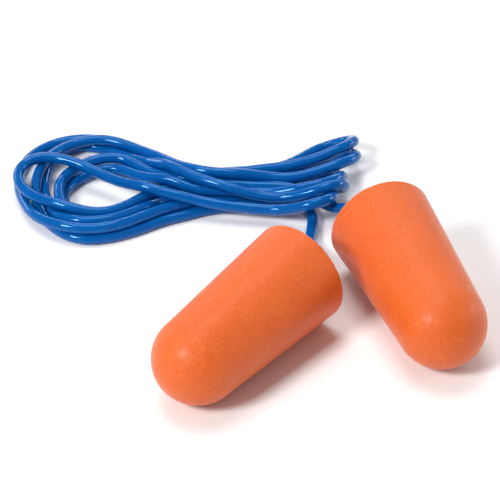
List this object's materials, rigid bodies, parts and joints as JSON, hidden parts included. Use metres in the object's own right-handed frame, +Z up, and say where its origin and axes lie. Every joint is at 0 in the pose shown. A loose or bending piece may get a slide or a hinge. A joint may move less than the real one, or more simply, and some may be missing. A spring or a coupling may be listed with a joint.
{
  "type": "corded foam ear plugs",
  "caption": "Soft bullet-shaped foam ear plugs joined by a thin flexible plastic cord, lying with the cord wound in a loose figure-8 hank.",
  "frame": {"origin": "on the surface that the plugs lie on, under the middle of the box around the two plugs", "axes": "+Z up; +X along the longer side of the box around the two plugs, towards the right plug's nose; +Y away from the noses, towards the cord's hank"},
  "size_m": [0.0583, 0.055, 0.0129],
  "materials": {
    "foam": "matte",
    "cord": "gloss",
    "glue": "satin"
  },
  "bodies": {
    "cord": {"left_cord_lead": "cord", "right_cord_lead": "cord", "cord_hank": "cord"},
    "left_plug": {"left_plug_body": "foam", "left_glue_sleeve": "glue", "left_cord_end": "cord"},
    "right_plug": {"right_plug_body": "foam", "right_glue_sleeve": "glue", "right_cord_end": "cord"}
  },
  "joints": [
    {"name": "left_plug_swing", "type": "hinge", "parent": "cord", "child": "left_plug", "pos_m": [-0.002, 0.00426, 0.00649], "axis": [0, 0, 1], "range_deg": [-25, 12], "stiffness_Nm_per_rad": 0.000175},
    {"name": "right_plug_swing", "type": "hinge", "parent": "cord", "child": "right_plug", "pos_m": [0.00766, 0.01367, 0.00649], "axis": [0, 0, 1], "range_deg": [-5, 25], "stiffness_Nm_per_rad": 0.000175}
  ]
}
